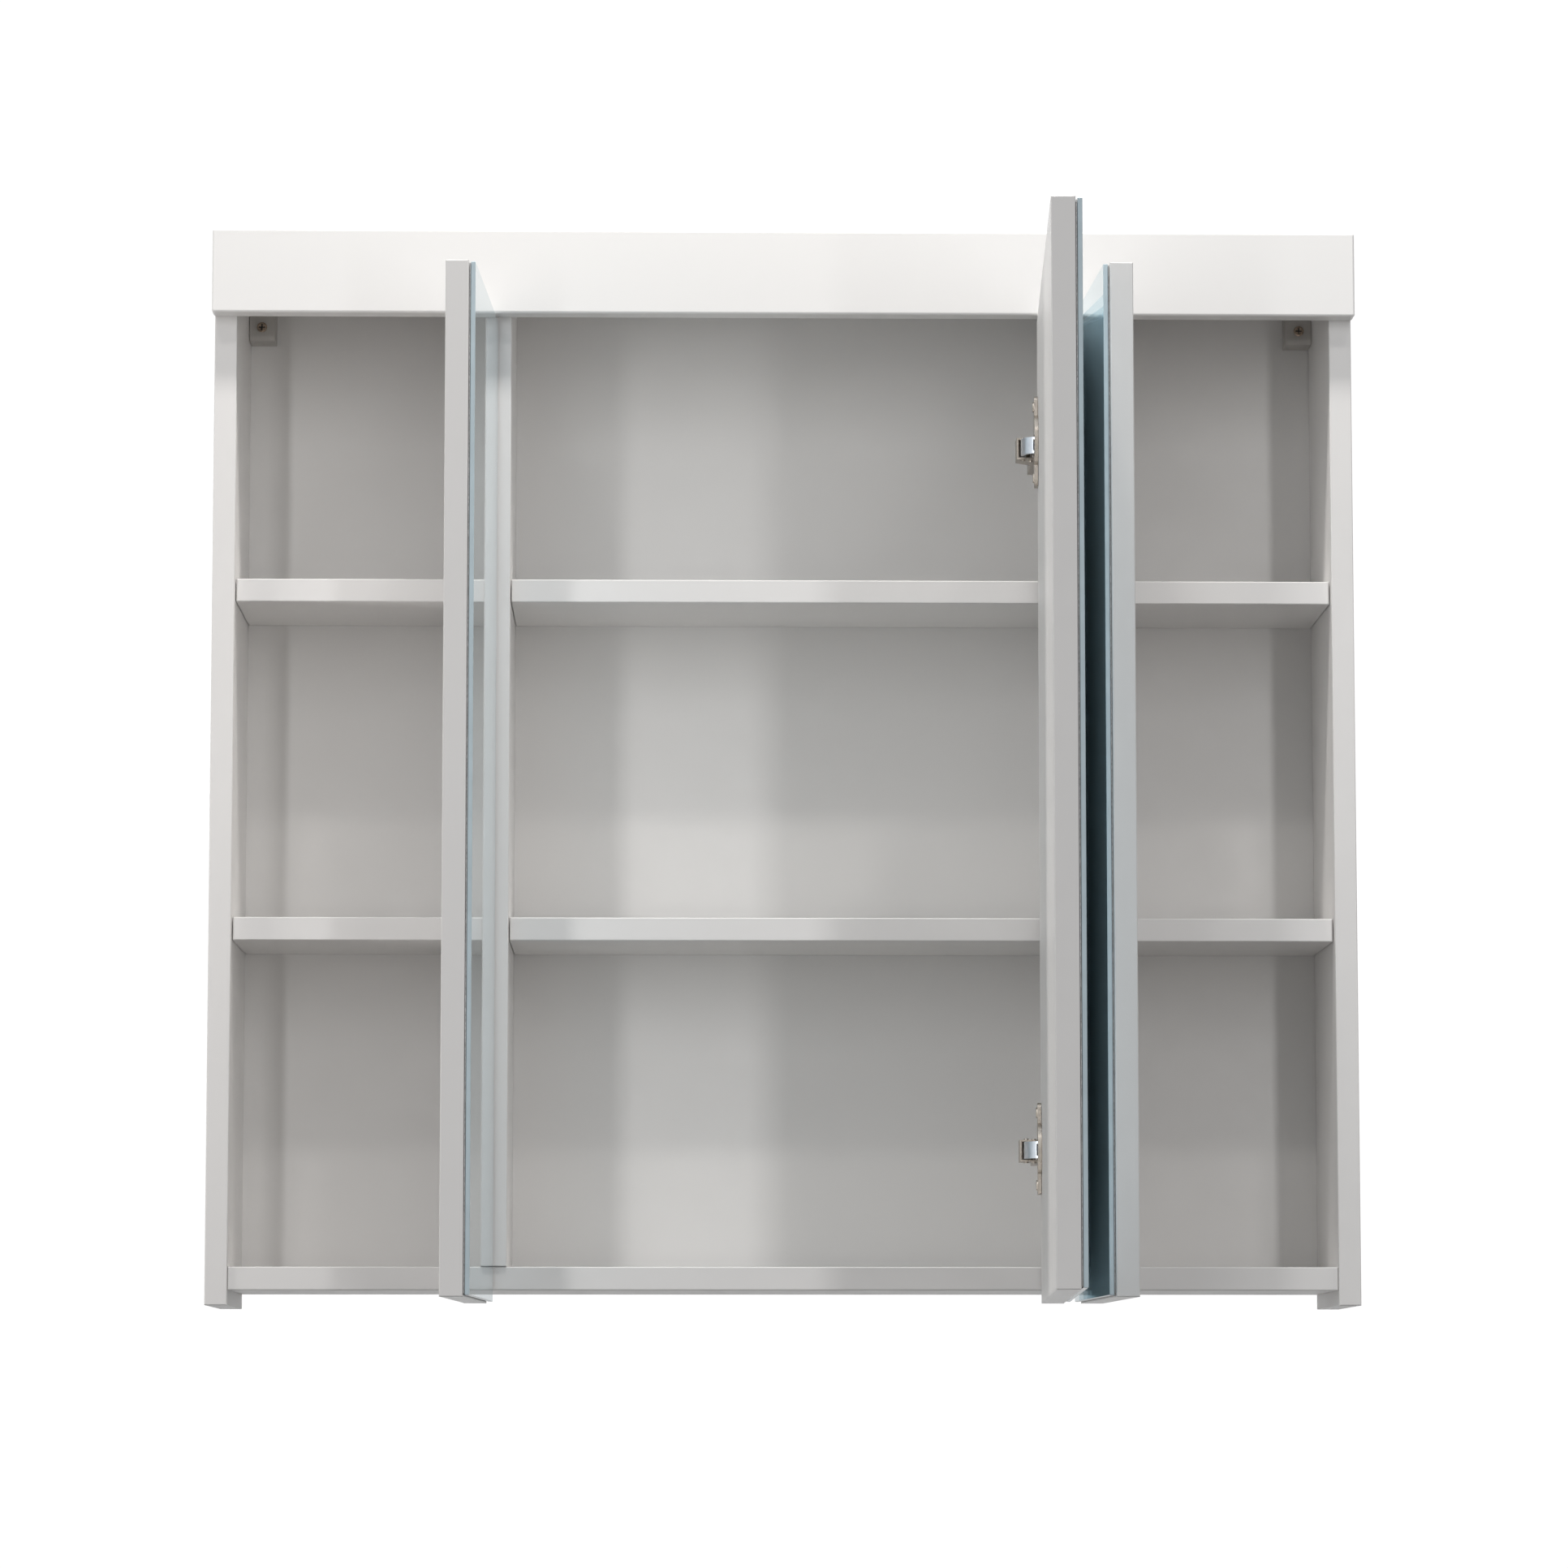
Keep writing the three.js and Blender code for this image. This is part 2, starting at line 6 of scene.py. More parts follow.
import bmesh
import bpy
from bpy.props import FloatProperty, FloatVectorProperty, PointerProperty
from mathutils import Matrix, Vector


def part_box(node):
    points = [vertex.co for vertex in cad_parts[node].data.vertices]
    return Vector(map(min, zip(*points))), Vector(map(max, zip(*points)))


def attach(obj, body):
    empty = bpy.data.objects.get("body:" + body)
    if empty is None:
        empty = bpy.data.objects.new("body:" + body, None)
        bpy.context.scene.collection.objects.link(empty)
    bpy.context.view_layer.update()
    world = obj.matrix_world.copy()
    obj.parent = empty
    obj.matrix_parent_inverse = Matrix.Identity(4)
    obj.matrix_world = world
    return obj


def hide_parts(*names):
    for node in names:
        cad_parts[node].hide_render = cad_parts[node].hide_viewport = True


bl_info = {
    "name": "Mirror cabinet",
    "version": (1, 0, 0),
    "blender": (4, 5, 0),
    "location": "View3D > Sidebar > Cabinet",
    "description": "Adds the boards, doors, mirrors, hinges and hangers of a wall cabinet",
    "category": "Add Mesh",
}

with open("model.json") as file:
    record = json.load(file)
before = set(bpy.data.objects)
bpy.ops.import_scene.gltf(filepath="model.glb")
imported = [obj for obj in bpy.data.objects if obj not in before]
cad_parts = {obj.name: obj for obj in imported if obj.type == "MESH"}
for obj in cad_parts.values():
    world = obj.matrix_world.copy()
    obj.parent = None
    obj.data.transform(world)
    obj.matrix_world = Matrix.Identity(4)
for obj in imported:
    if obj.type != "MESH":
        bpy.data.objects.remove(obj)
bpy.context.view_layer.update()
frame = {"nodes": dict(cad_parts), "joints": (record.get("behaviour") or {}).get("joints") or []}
mm = 0.001

DOORS = ("left", "middle", "right")
SIDES = ("left", "right")
LEVELS = ("lower", "upper")
JOINTS = {joint["name"]: joint for joint in frame["joints"]}


# ---------------------------------------------------------------- sizes and colours

def size_property(name, default, description):
    """A length in metres."""
    return FloatProperty(name=name, default=default, min=0.0, unit="LENGTH", precision=5,
                         description=description)


def colour_property(name, default, description):
    """A linear colour."""
    return FloatVectorProperty(name=name, default=default, min=0.0, max=1.0, size=3,
                               subtype="COLOR", description=description)


class CabinetSizes(bpy.types.PropertyGroup):
    """The sizes that the frame leaves open."""

    board_edge: size_property("Board edge", 0.3 * mm, "Rounding of a coated board's bare edges")
    band: size_property("Edge band", 1.0 * mm, "Thickness of the band glued on a board's edge")
    band_edge: size_property("Band edge", 0.7 * mm, "Rounding of an edge band's outer edges")
    fascia_edge: size_property("Fascia edge", 1.6 * mm, "Rounding of the lacquered fascia's edges")
    glass_edge: size_property("Glass edge", 0.35 * mm, "Ground bevel round a mirror glass")
    metal_edge: size_property("Metal edge", 0.22 * mm, "Rounding of pressed steel")
    plastic_edge: size_property("Plastic edge", 1.1 * mm, "Rounding of the moulded hanger covers")
    cup_screw: size_property("Cup screw", 3.5 * mm, "Radius of the heads that hold a hinge cup")
    plate_screw: size_property("Plate screw", 3.2 * mm, "Radius of the heads on a mounting plate")
    arm_screw: size_property("Arm screw", 2.9 * mm, "Radius of the adjusting screws on an arm")


class CabinetColours(bpy.types.PropertyGroup):
    """The colours of the finishes."""

    board: colour_property("Board", (0.80, 0.787, 0.775), "White coating of the boards")
    back: colour_property("Back", (0.77, 0.755, 0.74), "Coating of the thin back panel")
    band: colour_property("Band", (0.72, 0.706, 0.697), "Edge bands")
    lacquer: colour_property("Lacquer", (0.78, 0.77, 0.76), "Lacquer of the fascia")
    silver: colour_property("Silver", (0.74, 0.86, 0.905), "Silvering seen through its glass")
    glass_edge: colour_property("Glass edge", (0.50, 0.60, 0.65), "Ground edge of the glass")
    backing: colour_property("Backing", (0.20, 0.21, 0.21), "Paint on the mirror's back")
    foam: colour_property("Foam", (0.50, 0.50, 0.50), "Mounting foam")
    nickel: colour_property("Nickel", (0.44, 0.395, 0.345), "Nickel plating of the hinges")
    bright: colour_property("Bright steel", (0.64, 0.68, 0.73), "Plating of the hinge links")
    cover: colour_property("Cover", (0.47, 0.45, 0.425), "Plastic of the hanger covers")
    bronze: colour_property("Bronze", (0.34, 0.27, 0.21), "Passivated steel of the hanger screws")
    # The recess colour is painted shade: the cross recess of the hanger screws is near black
    # because it lies in shadow, not because of oil.
    recess: colour_property("Recess", (0.02, 0.018, 0.015), "Oily cross of the hanger screws")
    floor: colour_property("Floor", (0.86, 0.86, 0.855), "Plain pale floor")


def sizes():
    return bpy.context.scene.cabinet_sizes


def colours():
    return bpy.context.scene.cabinet_colours


# ---------------------------------------------------------------- finishes

# Most of a noise pattern lies between these two values.
NOISE_LOW = 0.3
NOISE_HIGH = 0.7


class Finish:
    """A node material under construction: a Principled shader and the nodes that feed it."""

    def __init__(self, name, colour, roughness, metallic=0.0):
        self.material = bpy.data.materials.new(name)
        self.material.use_nodes = True
        self.tree = self.material.node_tree
        self.shader = self.tree.nodes["Principled BSDF"]
        self.shader.inputs["Base Color"].default_value = (*colour, 1)
        self.shader.inputs["Roughness"].default_value = roughness
        self.shader.inputs["Metallic"].default_value = metallic
        self.colour = colour

    def node(self, kind, **inputs):
        made = self.tree.nodes.new(kind)
        for socket, value in inputs.items():
            made.inputs[socket.replace("_", " ")].default_value = value
        return made

    def link(self, output, target):
        self.tree.links.new(output, target)

    def place(self, stretch=(1, 1, 1)):
        """Object coordinates in metres, stretched by one factor per axis."""
        coordinates = self.node("ShaderNodeTexCoord")
        mapping = self.node("ShaderNodeMapping", Scale=stretch)
        self.link(coordinates.outputs["Object"], mapping.inputs["Vector"])
        return mapping.outputs["Vector"]

    def noise(self, per_metre, detail=3.0, stretch=(1, 1, 1)):
        made = self.node("ShaderNodeTexNoise", Scale=per_metre, Detail=detail)
        self.link(self.place(stretch), made.inputs["Vector"])
        return made.outputs["Fac"]

    def vary_colour(self, pattern, spread):
        """Lets the colour drift by a small share, darker and lighter."""
        ramp = self.node("ShaderNodeValToRGB")
        low, high = ramp.color_ramp.elements
        low.position, high.position = NOISE_LOW, NOISE_HIGH
        low.color = (*[channel * (1 - spread) for channel in self.colour], 1)
        high.color = (*[min(1, channel * (1 + spread)) for channel in self.colour], 1)
        self.link(pattern, ramp.inputs["Fac"])
        self.link(ramp.outputs["Color"], self.shader.inputs["Base Color"])

    def vary_roughness(self, pattern, low, high):
        spread = self.node("ShaderNodeMapRange", From_Min=NOISE_LOW, From_Max=NOISE_HIGH,
                           To_Min=low, To_Max=high)
        self.link(pattern, spread.inputs["Value"])
        self.link(spread.outputs["Result"], self.shader.inputs["Roughness"])

    def relief(self, pattern, height, strength=1.0):
        """Bump with a height in metres."""
        bump = self.node("ShaderNodeBump", Distance=height, Strength=strength)
        self.link(pattern, bump.inputs["Height"])
        self.link(bump.outputs["Normal"], self.shader.inputs["Normal"])


def coated_board():
    finish = Finish("coated_board", colours().board, 0.42)
    finish.vary_colour(finish.noise(5), 0.012)
    finish.vary_roughness(finish.noise(40), 0.38, 0.47)
    finish.relief(finish.noise(1400, 2), 0.02 * mm, 0.35)
    finish.shader.inputs["Specular IOR Level"].default_value = 0.45
    return finish.material


def thin_back():
    finish = Finish("thin_back", colours().back, 0.55)
    finish.vary_colour(finish.noise(4), 0.015)
    finish.vary_roughness(finish.noise(60), 0.5, 0.62)
    finish.relief(finish.noise(1100, 3), 0.03 * mm, 0.4)
    return finish.material


def edge_band():
    finish = Finish("edge_band", colours().band, 0.36)
    finish.vary_colour(finish.noise(12), 0.01)
    finish.vary_roughness(finish.noise(80), 0.32, 0.41)
    finish.relief(finish.noise(2000, 2), 0.01 * mm, 0.3)
    return finish.material


def white_lacquer():
    finish = Finish("white_lacquer", colours().lacquer, 0.3)
    finish.vary_colour(finish.noise(3), 0.004)
    finish.vary_roughness(finish.noise(160, 2), 0.29, 0.31)
    finish.relief(finish.noise(900, 1), 0.004 * mm, 0.3)
    finish.shader.inputs["Coat Weight"].default_value = 0.2
    finish.shader.inputs["Coat Roughness"].default_value = 0.2
    return finish.material


def silvering():
    finish = Finish("silvering", colours().silver, 0.03, 0.74)
    finish.vary_colour(finish.noise(2, 1), 0.008)
    finish.vary_roughness(finish.noise(25), 0.025, 0.045)
    return finish.material


def ground_glass():
    finish = Finish("ground_glass", colours().glass_edge, 0.18)
    finish.vary_colour(finish.noise(60), 0.05)
    finish.vary_roughness(finish.noise(900, 2), 0.12, 0.26)
    finish.relief(finish.noise(2500, 1, (1, 1, 0.2)), 0.01 * mm, 0.5)
    return finish.material


def mirror_backing():
    finish = Finish("mirror_backing", colours().backing, 0.6)
    finish.vary_colour(finish.noise(90), 0.08)
    finish.relief(finish.noise(700), 0.03 * mm, 0.5)
    return finish.material


def mounting_foam():
    finish = Finish("mounting_foam", colours().foam, 0.95)
    cells = finish.node("ShaderNodeTexVoronoi", Scale=2600)
    finish.link(finish.place(), cells.inputs["Vector"])
    finish.vary_colour(finish.noise(500), 0.25)
    finish.relief(cells.outputs["Distance"], 0.15 * mm, 0.8)
    return finish.material


def plated_nickel():
    finish = Finish("plated_nickel", colours().nickel, 0.3, 1.0)
    finish.vary_colour(finish.noise(220), 0.08)
    finish.vary_roughness(finish.noise(700, 4, (1, 1, 0.15)), 0.22, 0.4)
    finish.relief(finish.noise(1800, 2), 0.01 * mm, 0.4)
    return finish.material


def bright_steel():
    finish = Finish("bright_steel", colours().bright, 0.34, 1.0)
    finish.vary_colour(finish.noise(300), 0.04)
    finish.vary_roughness(finish.noise(800, 3, (1, 1, 0.2)), 0.28, 0.42)
    return finish.material


def moulded_plastic():
    finish = Finish("moulded_plastic", colours().cover, 0.5)
    finish.vary_colour(finish.noise(70), 0.03)
    finish.vary_roughness(finish.noise(200), 0.45, 0.58)
    finish.relief(finish.noise(2200, 2), 0.025 * mm, 0.6)
    return finish.material


def passivated_steel():
    finish = Finish("passivated_steel", colours().bronze, 0.38, 1.0)
    finish.vary_colour(finish.noise(900), 0.25)
    finish.vary_roughness(finish.noise(1300), 0.28, 0.5)
    return finish.material


# Painted shade: a near-black finish on the cross recess of the hanger screws stands in for its
# shadow.
def painted_recess_shade():
    finish = Finish("painted_recess_shade", colours().recess, 0.5)
    finish.vary_roughness(finish.noise(1500), 0.4, 0.6)
    return finish.material


FINISHES = {
    maker.__name__: maker
    for maker in (
        coated_board, thin_back, edge_band, white_lacquer, silvering, ground_glass,
        mirror_backing, mounting_foam, plated_nickel, bright_steel, moulded_plastic,
        passivated_steel, painted_recess_shade,
    )
}


def material(name):
    """A finish by name, made when it is first asked for."""
    return bpy.data.materials.get(name) or FINISHES[name]()


# ---------------------------------------------------------------- shaping

# Points nearer than the first are one point; points nearer than the second lie on one plane.
WELD = 0.002 * mm
TOUCHING = 0.01 * mm
# The turns between two faces at which an edge is dissolved, shaded smooth or rounded.
FLAT_TURN = radians(0.5)
SMOOTH_TURN = radians(35)
SHARP_TURN = radians(40)
METAL_SHARP_TURN = radians(50)
PLASTIC_SHARP_TURN = radians(60)


def welded_copy(node, turn=None):
    """A copy of a frame node as one skin of flat faces, turned first if a matrix is given."""
    mesh = bmesh.new()
    mesh.from_mesh(frame["nodes"][node].data)
    bmesh.ops.remove_doubles(mesh, verts=mesh.verts, dist=WELD)
    if turn:
        bmesh.ops.transform(mesh, matrix=turn, verts=mesh.verts)
    bmesh.ops.dissolve_limit(mesh, angle_limit=FLAT_TURN, verts=mesh.verts, edges=mesh.edges)
    return mesh


def block(low, high):
    """A box between two corners."""
    low, high = Vector(low), Vector(high)
    mesh = bmesh.new()
    bmesh.ops.create_cube(mesh, size=1)
    bmesh.ops.scale(mesh, vec=high - low, verts=mesh.verts)
    bmesh.ops.translate(mesh, vec=(low + high) / 2, verts=mesh.verts)
    return mesh


def round_edges(mesh, width, segments=3, sharp=SHARP_TURN):
    """Rounds every edge that turns by more than the given angle."""
    edges = [edge for edge in mesh.edges if edge.is_manifold and edge.calc_face_angle() > sharp]
    bmesh.ops.bevel(mesh, geom=edges, offset=width, offset_type="OFFSET", affect="EDGES",
                    segments=segments, profile=0.5, material=-1, clamp_overlap=True)


def band_strip(low, high, axis, outside):
    """A strip of edge band, rounded along the edges that lie outermost on one axis."""
    strip = block(low, high)
    outer = [
        edge for edge in strip.edges
        if all(abs(vert.co[axis] - outside) < TOUCHING for vert in edge.verts)
    ]
    bmesh.ops.bevel(strip, geom=outer, offset=sizes().band_edge, affect="EDGES", segments=3,
                    profile=0.5, material=-1)
    return strip


def box_of(mesh):
    """The lowest and highest corners of a bmesh."""
    low = Vector(min(vert.co[axis] for vert in mesh.verts) for axis in range(3))
    high = Vector(max(vert.co[axis] for vert in mesh.verts) for axis in range(3))
    return low, high


def finished(mesh, name, body, finishes, smooth=False, stands_for=()):
    """Turns a bmesh into a piece of the cabinet that rides on its body."""
    data = bpy.data.meshes.new(name)
    mesh.to_mesh(data)
    mesh.free()
    piece = bpy.data.objects.new(name, data)
    bpy.context.scene.collection.objects.link(piece)
    for finish in finishes:
        data.materials.append(material(finish))
    if smooth:
        data.shade_smooth()
        data.set_sharp_from_angle(angle=SMOOTH_TURN)
        weighted = piece.modifiers.new("weighted normals", "WEIGHTED_NORMAL")
        weighted.keep_sharp = True
    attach(piece, body)
    if stands_for:
        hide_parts(*stands_for)
    return piece


def require_finished(operator, made):
    """Raises an error if an operator made nothing."""
    if not made:
        raise RuntimeError(f"{operator.bl_idname} made no piece")
    return {"FINISHED"}


# ---------------------------------------------------------------- carcass

def banded_board(node, body="carcass"):
    """A coated board whose front edge carries a glued band."""
    band = sizes().band
    low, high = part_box(node)
    core = welded_copy(node)
    for vert in core.verts:
        if abs(vert.co.y - low.y) < TOUCHING:
            vert.co.y += band
    round_edges(core, sizes().board_edge, 2)
    board = finished(core, f"{node}_board", body, ["coated_board"], stands_for=[node])
    strip = band_strip(low, (high.x, low.y + band, high.z), 1, low.y)
    edge = finished(strip, f"{node}_edge_band", body, ["edge_band"])
    return [board, edge]


class CABINET_OT_boards(bpy.types.Operator):
    """Side panels, partitions, bottom, top and shelves, each with its banded front edge"""

    bl_idname = "cabinet.boards"
    bl_label = "Boards"

    def execute(self, context):
        nodes = [f"side_panel_{side}" for side in SIDES]
        nodes += [f"partition_{side}" for side in SIDES]
        nodes += ["bottom_panel", "top_panel"]
        nodes += [f"shelf_{level}_{bay}" for level in LEVELS for bay in DOORS]
        return require_finished(self, [banded_board(node) for node in nodes])


class CABINET_OT_back(bpy.types.Operator):
    """The thin back panel in its groove, cut out behind the hangers"""

    bl_idname = "cabinet.back"
    bl_label = "Back panel"

    def execute(self, context):
        mesh = welded_copy("back_panel")
        round_edges(mesh, sizes().board_edge / 2, 1)
        made = finished(mesh, "back_panel_sheet", "carcass", ["thin_back"],
                        stands_for=["back_panel"])
        return require_finished(self, [made])


class CABINET_OT_fascia(bpy.types.Operator):
    """The lacquered fascia with soft edges all round"""

    bl_idname = "cabinet.fascia"
    bl_label = "Fascia"

    def execute(self, context):
        low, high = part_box("fascia")
        mesh = block(low, high)
        round_edges(mesh, sizes().fascia_edge, 5)
        made = finished(mesh, "fascia_board", "carcass", ["white_lacquer"],
                        smooth=True, stands_for=["fascia"])
        return require_finished(self, [made])


# ---------------------------------------------------------------- doors

def closing(door):
    """The turn that closes a door from the pose it is drawn in."""
    joint = JOINTS[f"door_{door}_hinge"]
    at = Matrix.Translation(Vector(joint["pos_m"]))
    turn = Matrix.Rotation(radians(joint["range_deg"][0]), 4, Vector(joint["axis"]))
    return at @ turn @ at.inverted()


def opened(mesh, door):
    """Turns a mesh made on the closed door to the pose that the door is drawn in."""
    bmesh.ops.transform(mesh, matrix=closing(door).inverted(), verts=mesh.verts)
    return mesh


def add_door(door):
    """A door board, bored for its hinges, with a band on each of its four edges."""
    node, body = f"door_{door}", f"door_{door}"
    band = sizes().band
    core = welded_copy(node, closing(door))
    low, high = box_of(core)
    for vert in core.verts:
        for axis in (0, 2):
            if abs(vert.co[axis] - low[axis]) < TOUCHING:
                vert.co[axis] += band
            elif abs(vert.co[axis] - high[axis]) < TOUCHING:
                vert.co[axis] -= band
    round_edges(core, sizes().board_edge / 2, 1)
    pieces = [finished(opened(core, door), f"{node}_board", body, ["coated_board"],
                       stands_for=[node])]
    left, right = low.x + band, high.x - band
    # Each strip's two corners, then the axis it lies outermost on and its place there.
    strips = {
        "hinge_or_free_left": (low, (left, high.y, high.z), 0, low.x),
        "hinge_or_free_right": ((right, low.y, low.z), high, 0, high.x),
        "bottom": ((left, low.y, low.z), (right, high.y, low.z + band), 2, low.z),
        "top": ((left, low.y, high.z - band), (right, high.y, high.z), 2, high.z),
    }
    for label, strip_place in strips.items():
        strip = opened(band_strip(*strip_place), door)
        pieces.append(finished(strip, f"{node}_edge_band_{label}", body,
                               ["edge_band"]))
    return pieces


class CABINET_OT_doors(bpy.types.Operator):
    """Three door boards with their edge bands"""

    bl_idname = "cabinet.doors"
    bl_label = "Doors"

    def execute(self, context):
        return require_finished(self, [add_door(door) for door in DOORS])


# A face whose normal has at least this share along an axis looks straight along it.
SQUARE_ON = 0.99
SILVERED, GROUND, PAINTED = range(3)


def add_mirror(door):
    """A silvered glass with ground edges and a painted back."""
    node, body = f"mirror_{door}", f"door_{door}"
    mesh = welded_copy(node, closing(door))
    round_edges(mesh, sizes().glass_edge, 1)
    for face in mesh.faces:
        face.material_index = GROUND
        if face.normal.y < -SQUARE_ON:
            face.material_index = SILVERED
        elif face.normal.y > SQUARE_ON:
            face.material_index = PAINTED
    return finished(opened(mesh, door), f"{node}_glass", body,
                    ["silvering", "ground_glass", "mirror_backing"], stands_for=[node])


class CABINET_OT_mirrors(bpy.types.Operator):
    """Mirror glasses on the doors and the foam that holds them"""

    bl_idname = "cabinet.mirrors"
    bl_label = "Mirrors"

    def execute(self, context):
        made = [add_mirror(door) for door in DOORS]
        for door in DOORS:
            tape = frame["nodes"][f"mirror_tape_{door}"]
            tape.data.materials.clear()
            tape.data.materials.append(material("mounting_foam"))
        return require_finished(self, made)


# ---------------------------------------------------------------- hinges

FRONT_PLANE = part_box("side_panel_left")[0].y
# A mounting plate's thickness, and its screws' places behind the front and from its middle.
PLATE_BASE = 2.0 * mm
PLATE_SCREW_BACK = 37 * mm
PLATE_SCREW_OFFSET = 16 * mm
PLATE_SCREW_HEAD = 1.4 * mm
# How far the arm's screws stand from the partition's face, and behind the front.
ARM_SCREW_STAND = 15.8 * mm
ARM_SIDE_SCREW_BACK = 30 * mm
ARM_DEPTH_SCREW_BACK = 48 * mm
ARM_SCREW_HEAD = 1.6 * mm
CUP_SCREW_OFFSET = 24 * mm
CUP_SCREW_HEAD = 1.0 * mm
HEAD_SIDES = 28
# A screw slot's half width and reach as shares of its head's radius.
SLOT_HALF_WIDTH = 0.15
SLOT_REACH = 0.56
# The rounding of a head and the depth of its slots as shares of its height.
HEAD_ROUNDING = 0.45
SLOT_DEPTH = 0.6
# The share of a slot's size that is left at its bottom.
SLOT_TAPER = 0.72
# The smallest upward share of a normal on the flat top of a head.
TOP_FACING = 0.999


def soft_metal(node, body, slot, finish):
    """A pressed steel piece of the frame with its edges softened."""
    mesh = welded_copy(node)
    round_edges(mesh, sizes().metal_edge, 2, METAL_SHARP_TURN)
    return finished(mesh, f"{node}_steel", body, [finish], smooth=True, stands_for=[node])


class CABINET_OT_hinges(bpy.types.Operator):
    """Mounting plates, arms, links and cups of the concealed hinges"""

    bl_idname = "cabinet.hinges"
    bl_label = "Hinges"

    def execute(self, context):
        nickel = ("hinge_nickel", "plated_nickel")
        bright = ("link_bright", "bright_steel")
        made = []
        for door in DOORS:
            for level in LEVELS:
                tail = f"{door}_{level}"
                made += [
                    soft_metal(f"mounting_plate_{tail}", "carcass", *nickel),
                    soft_metal(f"hinge_arm_{tail}", "carcass", *nickel),
                    soft_metal(f"outer_link_{tail}", f"outer_links_{door}", *bright),
                    soft_metal(f"inner_link_{tail}", f"inner_links_{door}", *bright),
                    soft_metal(f"hinge_cup_{tail}", f"door_{door}", *nickel),
                ]
        return require_finished(self, made)


def screw_head(centre, outward, radius, height):
    """A low screw head with a cross recess, standing on a point and facing outward."""
    mesh = bmesh.new()
    bmesh.ops.create_circle(mesh, cap_ends=True, segments=HEAD_SIDES, radius=radius)
    raised = bmesh.ops.extrude_face_region(mesh, geom=mesh.faces[:])
    top = [item for item in raised["geom"] if isinstance(item, bmesh.types.BMVert)]
    bmesh.ops.translate(mesh, verts=top, vec=(0, 0, height))
    rim = [edge for edge in mesh.edges if all(vert.co.z > height / 2 for vert in edge.verts)]
    bmesh.ops.bevel(mesh, geom=rim, offset=height * HEAD_ROUNDING, affect="EDGES", segments=3,
                    profile=0.5, material=-1)
    bmesh.ops.recalc_face_normals(mesh, faces=mesh.faces)
    half_width, reach = radius * SLOT_HALF_WIDTH, radius * SLOT_REACH
    for distance in (half_width, reach):
        for normal in ((1, 0, 0), (-1, 0, 0), (0, 1, 0), (0, -1, 0)):
            flat = [face for face in mesh.faces if face.normal.z > TOP_FACING]
            around = {vert for face in flat for vert in face.verts}
            lines = {edge for face in flat for edge in face.edges}
            bmesh.ops.bisect_plane(mesh, geom=[*around, *lines, *flat], dist=1e-7,
                                   plane_co=Vector(normal) * distance, plane_no=normal)
    cross = []
    for face in mesh.faces:
        place = face.calc_center_median()
        across = max(abs(place.x), abs(place.y))
        aside = min(abs(place.x), abs(place.y))
        if face.normal.z > TOP_FACING and across < reach and aside < half_width:
            cross.append(face)
    sunk = bmesh.ops.extrude_face_region(mesh, geom=cross)
    bottom = [item for item in sunk["geom"] if isinstance(item, bmesh.types.BMVert)]
    bmesh.ops.delete(mesh, geom=cross, context="FACES_ONLY")
    bmesh.ops.translate(mesh, verts=bottom, vec=(0, 0, -height * SLOT_DEPTH))
    bmesh.ops.scale(mesh, verts=bottom, vec=(SLOT_TAPER, SLOT_TAPER, 1))
    outward = Vector(outward).normalized()
    side = Vector((0, 0, 1)).cross(outward).normalized()
    turn = Matrix((side, outward.cross(side), outward)).transposed().to_4x4()
    bmesh.ops.transform(mesh, matrix=Matrix.Translation(Vector(centre)) @ turn, verts=mesh.verts)
    return mesh


def plate_back(door, level):
    """The way into a hinge's bay along x, and its mounting plate's back on the partition."""
    low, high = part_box(f"mounting_plate_{door}_{level}")
    into_bay = 1 if door == "right" else -1
    return into_bay, low.x if into_bay > 0 else high.x


def middle_height(node):
    """The height half way up a frame node."""
    low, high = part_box(node)
    return (low.z + high.z) / 2


def add_plate_screws(door, level):
    """One screw through each wing of a mounting plate."""
    into_bay, back = plate_back(door, level)
    face = back + into_bay * PLATE_BASE
    middle = middle_height(f"mounting_plate_{door}_{level}")
    pieces = []
    for sign, word in ((-1, "low"), (1, "high")):
        centre = (face, PLATE_SCREW_BACK + FRONT_PLANE, middle + sign * PLATE_SCREW_OFFSET)
        mesh = screw_head(centre, (into_bay, 0, 0), sizes().plate_screw, PLATE_SCREW_HEAD)
        pieces.append(finished(mesh, f"plate_screw_{door}_{level}_{word}", "carcass",
                               ["plated_nickel"], smooth=True))
    return pieces


def add_arm_screws(door, level):
    """The side and depth adjusting screws on a hinge arm."""
    into_bay, back = plate_back(door, level)
    face = back + into_bay * ARM_SCREW_STAND
    height = middle_height(f"hinge_arm_{door}_{level}")
    pieces = []
    for behind, word in ((ARM_SIDE_SCREW_BACK, "side"), (ARM_DEPTH_SCREW_BACK, "depth")):
        centre = (face, FRONT_PLANE + behind, height)
        mesh = screw_head(centre, (into_bay, 0, 0), sizes().arm_screw, ARM_SCREW_HEAD)
        pieces.append(finished(mesh, f"arm_screw_{door}_{level}_{word}", "carcass",
                               ["bright_steel"], smooth=True))
    return pieces


def add_cup_screws(door, level):
    """The two screws that hold a cup's flange on the door."""
    turn = closing(door)
    low, high = box_of(welded_copy(f"hinge_cup_{door}_{level}", turn))
    across = (low.x + high.x) / 2
    height = (low.z + high.z) / 2
    pieces = []
    for sign, word in ((-1, "low"), (1, "high")):
        centre = (across, high.y, height + sign * CUP_SCREW_OFFSET)
        mesh = opened(screw_head(centre, (0, 1, 0), sizes().cup_screw, CUP_SCREW_HEAD), door)
        pieces.append(finished(mesh, f"cup_screw_{door}_{level}_{word}", f"door_{door}",
                               ["plated_nickel"], smooth=True))
    return pieces


